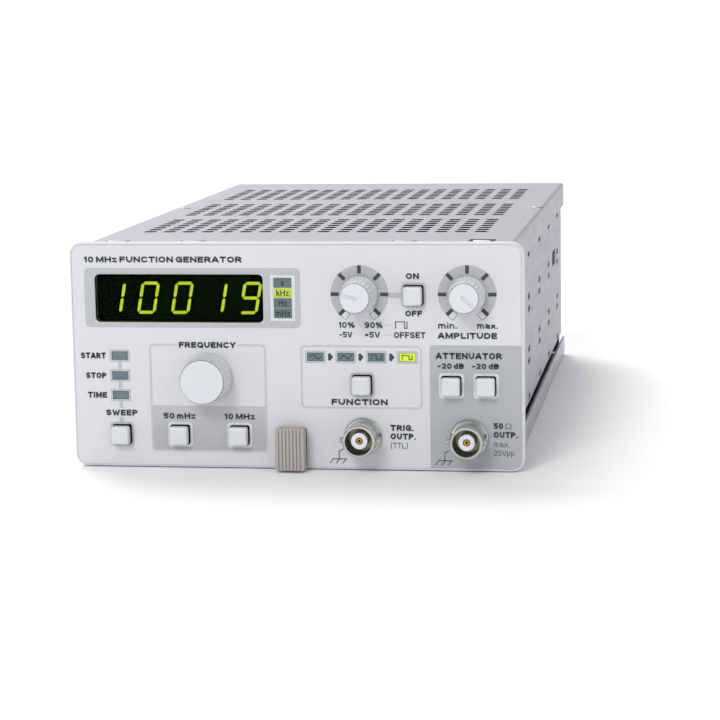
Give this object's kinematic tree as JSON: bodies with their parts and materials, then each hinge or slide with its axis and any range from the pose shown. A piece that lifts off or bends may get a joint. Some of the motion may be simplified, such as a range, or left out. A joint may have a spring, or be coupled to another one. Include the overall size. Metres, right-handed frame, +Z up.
{
  "type": "function generator plug-in module",
  "caption": "Plug-in bench function generator with a digital frequency display, push keys, rotary knobs, coaxial outputs, a pull latch and a vented metal case.",
  "frame": {"origin": "under the middle of the bounding box, on the surface the bottom tray stands on", "axes": "+X to the right seen from the front, +Y from the front panel to the rear, +Z up"},
  "size_m": [0.135, 0.2466, 0.0676],
  "materials": {
    "panel": "satin",
    "window": "gloss",
    "display_body": "matte",
    "lamp": "satin",
    "lit_lamp": "satin",
    "key": "satin",
    "black_plastic": "matte",
    "knob": "satin",
    "steel": "satin",
    "nickel": "polished",
    "insulator": "satin",
    "gold": "polished",
    "grip": "matte",
    "cover": "satin",
    "board": "satin",
    "aluminium": "satin"
  },
  "bodies": {
    "housing": {"front_panel": "panel", "display_window": "window", "display_module": "display_body", "unit_indicator": "panel", "top_cover": "cover", "bottom_tray": "steel", "left_side_wall": "cover", "right_side_wall": "cover", "rear_panel": "steel", "front_frame": "steel", "front_board": "board", "main_board": "board", "heat_sink": "aluminium", "latch_guide": "black_plastic", "led_start": "lamp", "led_stop": "lamp", "led_time": "lamp", "led_sine": "lamp", "led_triangle": "lamp", "led_square": "lamp", "led_pulse": "lit_lamp", "sweep_switch": "black_plastic", "frequency_down_switch": "black_plastic", "frequency_up_switch": "black_plastic", "function_switch": "black_plastic", "offset_on_switch": "black_plastic", "attenuator_a_switch": "black_plastic", "attenuator_b_switch": "black_plastic", "frequency_encoder": "black_plastic", "offset_potentiometer": "black_plastic", "amplitude_potentiometer": "black_plastic", "trigger_socket_shell": "nickel", "trigger_socket_insulator": "insulator", "trigger_socket_contact": "gold", "output_socket_shell": "nickel", "output_socket_insulator": "insulator", "output_socket_contact": "gold"},
    "sweep_key_body": {"sweep_key": "key", "sweep_plunger": "black_plastic"},
    "frequency_down_key_body": {"frequency_down_key": "key", "frequency_down_plunger": "black_plastic"},
    "frequency_up_key_body": {"frequency_up_key": "key", "frequency_up_plunger": "black_plastic"},
    "function_key_body": {"function_key": "key", "function_plunger": "black_plastic"},
    "offset_on_key_body": {"offset_on_key": "key", "offset_on_plunger": "black_plastic"},
    "attenuator_a_key_body": {"attenuator_a_key": "key", "attenuator_a_plunger": "black_plastic"},
    "attenuator_b_key_body": {"attenuator_b_key": "key", "attenuator_b_plunger": "black_plastic"},
    "frequency_knob_body": {"frequency_knob": "knob", "frequency_shaft": "steel"},
    "offset_knob_body": {"offset_knob": "knob", "offset_shaft": "steel"},
    "amplitude_knob_body": {"amplitude_knob": "knob", "amplitude_shaft": "steel"},
    "latch": {"latch_grip": "grip", "latch_bar": "steel", "latch_spring": "steel"}
  },
  "joints": [
    {"name": "sweep_press", "type": "slide", "parent": "housing", "child": "sweep_key_body", "axis": [0, 1, 0], "range_m": [0, 0.0025], "stiffness_N_per_m": 300},
    {"name": "frequency_down_press", "type": "slide", "parent": "housing", "child": "frequency_down_key_body", "axis": [0, 1, 0], "range_m": [0, 0.0025], "stiffness_N_per_m": 300},
    {"name": "frequency_up_press", "type": "slide", "parent": "housing", "child": "frequency_up_key_body", "axis": [0, 1, 0], "range_m": [0, 0.0025], "stiffness_N_per_m": 300},
    {"name": "function_press", "type": "slide", "parent": "housing", "child": "function_key_body", "axis": [0, 1, 0], "range_m": [0, 0.0025], "stiffness_N_per_m": 300},
    {"name": "offset_on_press", "type": "slide", "parent": "housing", "child": "offset_on_key_body", "axis": [0, 1, 0], "range_m": [0, 0.0025], "stiffness_N_per_m": 300},
    {"name": "attenuator_a_press", "type": "slide", "parent": "housing", "child": "attenuator_a_key_body", "axis": [0, 1, 0], "range_m": [0, 0.0025], "stiffness_N_per_m": 300},
    {"name": "attenuator_b_press", "type": "slide", "parent": "housing", "child": "attenuator_b_key_body", "axis": [0, 1, 0], "range_m": [0, 0.0025], "stiffness_N_per_m": 300},
    {"name": "frequency_turn", "type": "hinge", "parent": "housing", "child": "frequency_knob_body", "pos_m": [-0.0262, -0.11325, 0.0275], "axis": [0, 1, 0], "continuous": true},
    {"name": "offset_turn", "type": "hinge", "parent": "housing", "child": "offset_knob_body", "pos_m": [0.0195, -0.11325, 0.05245], "axis": [0, 1, 0], "range_deg": [-75.5, 224.5]},
    {"name": "amplitude_turn", "type": "hinge", "parent": "housing", "child": "amplitude_knob_body", "pos_m": [0.0511, -0.11325, 0.0525], "axis": [0, 1, 0], "range_deg": [-281, 19]},
    {"name": "latch_pull", "type": "slide", "parent": "housing", "child": "latch", "axis": [0, -1, 0], "range_m": [0, 0.005], "stiffness_N_per_m": 400}
  ]
}
